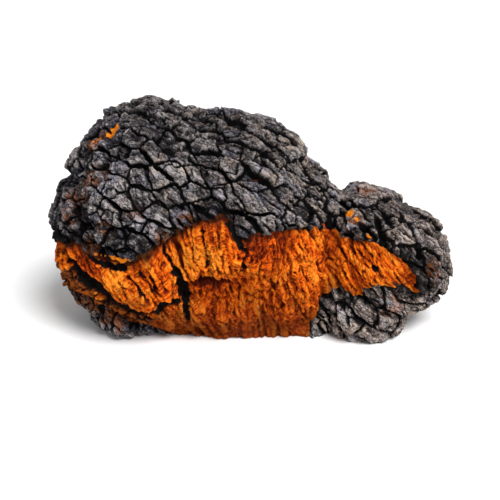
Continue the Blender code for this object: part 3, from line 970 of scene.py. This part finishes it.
class Finish:
    """A material built up node by node."""

    def __init__(self, name):
        self.material = bpy.data.materials.new(name)
        self.material.use_nodes = True
        self.tree = self.material.node_tree
        self.shader = self.tree.nodes["Principled BSDF"]
        self.place = self.node("ShaderNodeTexCoord").outputs["Object"]

    def node(self, kind, **settings):
        made = self.tree.nodes.new(kind)
        for name, value in settings.items():
            setattr(made, name, value)
        return made

    def feed(self, socket, value):
        if isinstance(value, bpy.types.NodeSocket):
            self.tree.links.new(value, socket)
        else:
            socket.default_value = value

    def field(self, name, vector=False):
        made = self.node("ShaderNodeAttribute", attribute_name=name)
        return made.outputs["Vector" if vector else "Fac"]

    def along(self, axis):
        """The coordinate along X, Y or Z."""
        made = self.node("ShaderNodeSeparateXYZ")
        self.feed(made.inputs[0], self.place)
        return made.outputs[axis]

    def maths(self, operation, first, second=0.0, third=0.0):
        made = self.node("ShaderNodeMath", operation=operation)
        for socket, value in zip(made.inputs, (first, second, third)):
            self.feed(socket, value)
        return made.outputs[0]

    def noise(self, vector, scale, detail=4.0, rough=0.55):
        made = self.node("ShaderNodeTexNoise")
        self.feed(made.inputs["Vector"], vector)
        made.inputs["Scale"].default_value = scale
        made.inputs["Detail"].default_value = detail
        made.inputs["Roughness"].default_value = rough
        return made.outputs["Fac"]

    def crackle(self, vector, scale):
        made = self.node("ShaderNodeTexVoronoi", feature="DISTANCE_TO_EDGE")
        self.feed(made.inputs["Vector"], vector)
        made.inputs["Scale"].default_value = scale
        return made.outputs["Distance"]

    def span(self, value, low, high, to_low=0.0, to_high=1.0):
        made = self.node("ShaderNodeMapRange", interpolation_type="SMOOTHSTEP")
        for socket, given in zip(made.inputs, (value, low, high, to_low, to_high)):
            self.feed(socket, given)
        return made.outputs[0]

    def ramp(self, value, stops):
        made = self.node("ShaderNodeValToRGB")
        for _ in stops[2:]:
            made.color_ramp.elements.new(0.5)
        for element, (place, colour) in zip(made.color_ramp.elements, stops):
            element.position = place
            element.color = (*colour, 1.0)
        self.feed(made.inputs["Fac"], value)
        return made.outputs["Color"]

    def mix(self, share, under, over, blend="MIX"):
        made = self.node("ShaderNodeMix", data_type="RGBA", blend_type=blend)
        self.feed(made.inputs["Factor"], share)
        for socket, colour in ((made.inputs[6], under), (made.inputs[7], over)):
            self.feed(socket, colour if isinstance(colour, bpy.types.NodeSocket) else (*colour, 1.0))
        return made.outputs[2]

    def tinted(self, share, strength, under, over, blend="MIX"):
        """The first colour with the second one over it, as strongly as share times strength."""
        return self.mix(self.maths("MULTIPLY", share, strength), under, over, blend)

    def stretched(self, vector, stretch, turn=(0.0, 0.0, 0.0)):
        """The coordinates turned, then stretched so that marks drawn with them grow longer."""
        made = self.node("ShaderNodeMapping", vector_type="TEXTURE")
        self.feed(made.inputs["Vector"], vector)
        made.inputs["Rotation"].default_value = turn
        made.inputs["Scale"].default_value = stretch
        return made.outputs[0]

    def shifted(self, vector, amount, scale):
        """The coordinates shaken about by noise."""
        made = self.node("ShaderNodeTexNoise")
        self.feed(made.inputs["Vector"], self.place)
        made.inputs["Scale"].default_value = scale
        moved = self.node("ShaderNodeVectorMath", operation="MULTIPLY_ADD")
        self.feed(moved.inputs[0], made.outputs["Color"])
        moved.inputs[1].default_value = (amount, amount, amount)
        self.feed(moved.inputs[2], vector)
        return moved.outputs[0]

    def total(self, parts, start):
        """The sum of several values, each times its weight."""
        running = start
        for value, weight in parts:
            running = self.maths("MULTIPLY_ADD", value, weight, running)
        return running

    def bump(self, height, distance, strength, under=None, invert=False):
        made = self.node("ShaderNodeBump", invert=invert)
        made.inputs["Strength"].default_value = strength
        made.inputs["Distance"].default_value = distance
        self.feed(made.inputs["Height"], height)
        if under is not None:
            self.feed(made.inputs["Normal"], under)
        return made.outputs[0]

    def finished(self, colour, rough, shine, relief=None):
        """The material with its colour, roughness, shine and relief."""
        self.feed(self.shader.inputs["Base Color"], colour)
        self.feed(self.shader.inputs["Roughness"], rough)
        self.shader.inputs["Specular IOR Level"].default_value = shine
        if relief is not None:
            self.feed(self.shader.inputs["Normal"], relief)
        return self.material


# Colours from dark to light over the tone: crust, chips in it, flesh, rotten flesh, and the floor.
CRUST_COLOURS = (
    (0.12, (0.004, 0.004, 0.005)), (0.38, (0.026, 0.024, 0.027)), (0.58, (0.085, 0.077, 0.079)),
    (0.78, (0.195, 0.175, 0.175)), (1.00, (0.420, 0.380, 0.370)),
)
CHIP_COLOURS = ((0.35, (0.55, 0.12, 0.006)), (0.62, (0.95, 0.30, 0.015)))
FLESH_COLOURS = (
    (0.10, (0.040, 0.0030, 0.0008)), (0.32, (0.195, 0.019, 0.0018)), (0.52, (0.580, 0.073, 0.0030)),
    (0.72, (0.920, 0.170, 0.007)), (0.95, (1.000, 0.305, 0.024)),
)
ROT_COLOURS = (
    (0.14, (0.006, 0.004, 0.004)), (0.34, (0.045, 0.020, 0.012)), (0.50, (0.200, 0.048, 0.009)),
    (0.80, (0.480, 0.110, 0.012)),
)
FLOOR_COLOURS = ((0.3, (0.90, 0.90, 0.90)), (0.7, (0.92, 0.92, 0.92)))
# What tints and stains the crust, and the painted shade in its fine fissures and its cracks.
WARM_TINT, COOL_TINT = (1.16, 1.0, 0.84), (0.88, 0.93, 1.12)
RUST_COLOUR = (0.300, 0.085, 0.018)
HAIRLINE_SHADE_COLOUR, CRACK_SHADE_COLOUR = (0.003, 0.003, 0.003), (0.0012, 0.0010, 0.0011)
# Painted shade in the flesh's fine lines and cracks and beside and under the crust, the flesh darker towards
# the ground, its rotten parts with painted shade in their seams, and painted shade in its clefts.
FLESH_LINE_SHADE_COLOUR, FLESH_CRACK_SHADE_COLOUR = (0.070, 0.0080, 0.0016), (0.026, 0.0036, 0.0010)
EDGE_SHADE_COLOUR, UNDER_CRUST_SHADE_COLOUR = (0.130, 0.018, 0.004), (0.012, 0.005, 0.003)
LOW_COLOUR = (0.115, 0.018, 0.004)
STRIP_COLOUR, ROT_CRACK_SHADE_COLOUR = (0.55, 0.125, 0.010), (0.003, 0.002, 0.002)
CLEFT_SHADE_COLOUR = (0.008, 0.006, 0.006)


def crust_finish():
    """Dry charcoal crust: grey tops, rusty stains and orange chips, with painted highlights where it stands
    raised, black painted shade in its cracks and hollows, and darker painted shade under its rim, on its
    left and where it faces up.
    """
    finish = Finish("charcoal_crust")
    place = finish.place
    run = finish.stretched(place, (4.0, 1.0, 1.0), (0.0, PLATE_RUN_TURN, 0.0))
    broad = finish.noise(place, 60.0, 3.0)
    grain = finish.noise(place, 520.0, 6.0, 0.68)
    streak = finish.noise(run, 700.0, 4.0, 0.6)
    speck = finish.noise(place, 1200.0, 3.0, 0.8)
    # Painted light in the crust's tone: painted highlight where it stands raised, and painted shade in its
    # hollows, under its rim and beside its cracks and valleys, besides its random tone.
    tone = finish.total((
        (finish.field("tone"), 0.34), (finish.field("raised"), 0.22), (broad, 0.55), (grain, 0.80),
        (streak, 1.05), (speck, 1.55), (finish.field("edge"), -0.34), (finish.field("hollow_shade"), -0.26)), -1.485)
    colour = finish.ramp(tone, CRUST_COLOURS)
    warm = finish.maths("MULTIPLY_ADD", finish.along("X"), 0.9, finish.noise(place, 95.0, 4.0, 0.6))
    warm = finish.span(warm, 0.44, 0.62)
    colour = finish.tinted(warm, 0.80, colour, WARM_TINT, "MULTIPLY")
    cool = finish.span(finish.noise(place, 70.0, 3.0, 0.5), 0.50, 0.38)
    colour = finish.tinted(cool, 0.75, colour, COOL_TINT, "MULTIPLY")
    patchy = finish.noise(place, 190.0, 4.0, 0.65)
    rust = finish.maths("MULTIPLY", finish.field("rust"), finish.span(patchy, 0.40, 0.60))
    colour = finish.tinted(rust, 0.85, colour, RUST_COLOUR)
    # Painted shade: black in fine fissures and pits.
    lines = finish.crackle(finish.shifted(run, 0.004, 300.0), 260.0)
    lines = finish.span(lines, 0.01, 0.075, 1.0, 0.0)
    pits = finish.span(finish.noise(run, 520.0, 3.0, 0.6), 0.64, 0.72)
    lines = finish.maths("MAXIMUM", lines, pits)
    colour = finish.tinted(lines, 0.84, colour, HAIRLINE_SHADE_COLOUR)
    # Painted shade: black in the cracks, seams and crevices.
    crack = finish.span(finish.field("crack"), 0.18, 0.68)
    colour = finish.tinted(crack, 0.97, colour, CRACK_SHADE_COLOUR)
    chip = finish.maths("ADD", finish.field("chip"), -0.4)
    chip = finish.span(finish.maths("MULTIPLY_ADD", patchy, 0.8, chip), 0.30, 0.55)
    colour = finish.mix(chip, colour, finish.ramp(grain, CHIP_COLOURS))
    relief = finish.bump(lines, 0.0005, 0.8, invert=True)
    relief = finish.bump(grain, 0.0018, 0.9, relief)
    relief = finish.bump(streak, 0.0008, 0.8, relief)
    return finish.finished(colour, finish.span(grain, 0.30, 0.75, 0.95, 0.70), 0.07, relief)


def flesh_finish():
    """Corky orange flesh, streaked along its fibres, with painted shade that makes it brown in its cracks,
    dark beside and under the crust and black in its clefts, and painted light and shade in listed places.
    """
    finish = Finish("orange_flesh")
    place = finish.place
    fibre = finish.field("fibre", vector=True)
    strands = finish.noise(finish.stretched(fibre, (1.0, 7.0, 2.0)), 900.0, 5.0, 0.62)
    coarse = finish.noise(finish.stretched(fibre, (1.0, 4.0, 2.0)), 230.0, 3.0, 0.55)
    cork = finish.noise(finish.stretched(fibre, (1.0, 1.6, 1.0)), 1000.0, 4.0, 0.75)
    grainy = finish.noise(finish.stretched(fibre, (1.0, 2.2, 1.0)), 480.0, 5.0, 0.65)
    broad = finish.noise(place, 60.0, 3.0, 0.55)
    # Painted light in the flesh's tone: painted highlight where it stands raised, painted shade in its
    # hollows, and painted light and shade in listed places, besides its random tone.
    tone = finish.total((
        (finish.field("tone"), 0.24), (finish.field("raised"), 0.22), (strands, 0.60), (coarse, 0.50),
        (cork, 1.20), (grainy, 0.90), (broad, 0.80), (finish.field("light_and_shade"), 0.85)), -1.51)
    colour = finish.ramp(tone, FLESH_COLOURS)
    # Painted shade: dark fine lines between the fibres.
    lines = finish.shifted(finish.stretched(fibre, (1.0, 6.0, 1.0)), 0.003, 350.0)
    lines = finish.span(finish.crackle(lines, 330.0), 0.02, 0.15, 1.0, 0.0)
    lines = finish.maths("MULTIPLY", lines, finish.span(coarse, 0.60, 0.45))
    colour = finish.tinted(lines, 0.85, colour, FLESH_LINE_SHADE_COLOUR)
    # Painted shade: brown in the cracks, and nearly black in the seams of rotten flesh.
    crack = finish.span(finish.field("crack"), 0.15, 0.90)
    colour = finish.tinted(crack, 0.90, colour, FLESH_CRACK_SHADE_COLOUR)
    # Painted shade: red-brown beside the crust and nearly black under it.
    edge = finish.field("edge")
    colour = finish.mix(finish.span(edge, 0.30, 0.95, 0.0, 0.66), colour, EDGE_SHADE_COLOUR)
    colour = finish.mix(finish.span(edge, 0.90, 1.0, 0.0, 0.85), colour, UNDER_CRUST_SHADE_COLOUR)
    low = finish.maths("MULTIPLY_ADD", finish.maths("ADD", broad, -0.5), -0.045, finish.along("Z"))
    colour = finish.mix(finish.span(low, 0.004, 0.046, 0.80, 0.0), colour, LOW_COLOUR)
    patch = finish.noise(place, 230.0, 4.0, 0.62)
    blotches = finish.maths("MULTIPLY_ADD", patch, 1.6, -0.80)
    rotten = finish.maths("MULTIPLY_ADD", patch, 1.5, -0.95)
    rotten = finish.ramp(finish.maths("MULTIPLY_ADD", grainy, 1.4, rotten), ROT_COLOURS)
    rotten = finish.tinted(finish.field("rust"), 0.85, rotten, STRIP_COLOUR)
    rotting = finish.span(finish.maths("ADD", finish.field("rot"), blotches), 0.25, 0.60)
    colour = finish.mix(rotting, colour, rotten)
    colour = finish.tinted(crack, finish.field("rot"), colour, ROT_CRACK_SHADE_COLOUR)
    # Painted shade: nearly black in the clefts, broken up by blotchy noise.
    shaded_cleft = finish.span(finish.maths("ADD", finish.field("cleft_shade"), blotches), 0.30, 0.60)
    colour = finish.mix(shaded_cleft, colour, CLEFT_SHADE_COLOUR)
    relief = finish.bump(cork, 0.0009, 0.9, finish.bump(strands, 0.0012, 0.9))
    return finish.finished(colour, finish.span(cork, 0.3, 0.7, 0.95, 0.80), 0.05, relief)


def floor_finish():
    finish = Finish("studio_floor")
    return finish.finished(finish.ramp(finish.noise(finish.place, 3.0, 2.0), FLOOR_COLOURS), 0.9, 0.5)


# Studio

def make_floor():
    surface = bmesh.new()
    bmesh.ops.create_grid(surface, x_segments=4, y_segments=4, size=FLOOR_HALF_SIDE)
    mesh = bpy.data.meshes.new("floor")
    surface.to_mesh(mesh)
    surface.free()
    floor = new_object("floor", mesh)
    mesh.materials.append(floor_finish())


def add_sky_light(name, towards, width_deg, strength):
    """A broad even light that comes from the given direction."""
    light = bpy.data.lights.new(name, "SUN")
    light.angle = math.radians(width_deg)
    light.energy = strength
    holder = bpy.data.objects.new(name, light)
    bpy.context.scene.collection.objects.link(holder)
    holder.location = Vector(towards).normalized()
    holder.rotation_euler = (-Vector(towards)).to_track_quat("-Z", "Y").to_euler()


def make_studio():
    world = bpy.data.worlds.new("studio")
    bpy.context.scene.world = world
    world.use_nodes = True
    sky = world.node_tree.nodes["Background"]
    sky.inputs["Color"].default_value = (1.0, 1.0, 1.0, 1.0)
    sky.inputs["Strength"].default_value = ROOM_LIGHT
    add_sky_light("key", *KEY_LIGHT)
    bpy.context.scene.view_settings.view_transform = "Standard"
    lens = bpy.data.cameras.new("camera")
    lens.lens = LENS_MM
    lens.sensor_width = SENSOR_MM
    camera = bpy.data.objects.new("camera", lens)
    bpy.context.scene.collection.objects.link(camera)
    tilt = math.radians(CAMERA_TILT_DEG)
    back = Vector((0.0, -math.cos(tilt), math.sin(tilt)))
    camera.location = CAMERA_AIM + CAMERA_DISTANCE * back
    camera.rotation_euler = (math.radians(90.0 - CAMERA_TILT_DEG), 0.0, 0.0)
    bpy.context.scene.camera = camera


def dress(piece, look, cut_look):
    """Gives the piece its finish, another one for its flat cuts, and its place in the frame."""
    piece.data.materials.clear()
    piece.data.materials.append(look)
    piece.data.materials.append(cut_look)
    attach(piece, "root")
    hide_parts("conk")


def dress_conk():
    form = smooth_form()
    cells = scatter(form, growth_at, SEED)
    cells.lift_by_chance(SEED + 1, PLATE_TILT_DEG)
    is_flesh = np.array([in_flesh(Vector(place)) for place in cells.place])
    chunks = scatter(form, chunk_growth, SEED + 20, keep=lambda point: point.z > CHUNKS_FROM)
    chunks.lift_by_chance(SEED + 21, CHUNK_TILT_DEG)
    plates = cells.only(~is_flesh)
    plates.fit_to_surface(PLATE_LENGTHENING)
    chunks.fit_to_surface()
    crust_look, flesh_look = crust_finish(), flesh_finish()
    for half in CRUST_HALVES:
        dress(make_crust(form, plates, chunks, *half), crust_look, flesh_look)
    dress(make_flesh(form, cells.only(is_flesh), chunks), flesh_look, flesh_look)
    bpy.data.meshes.remove(form)


make_floor()
make_studio()
dress_conk()
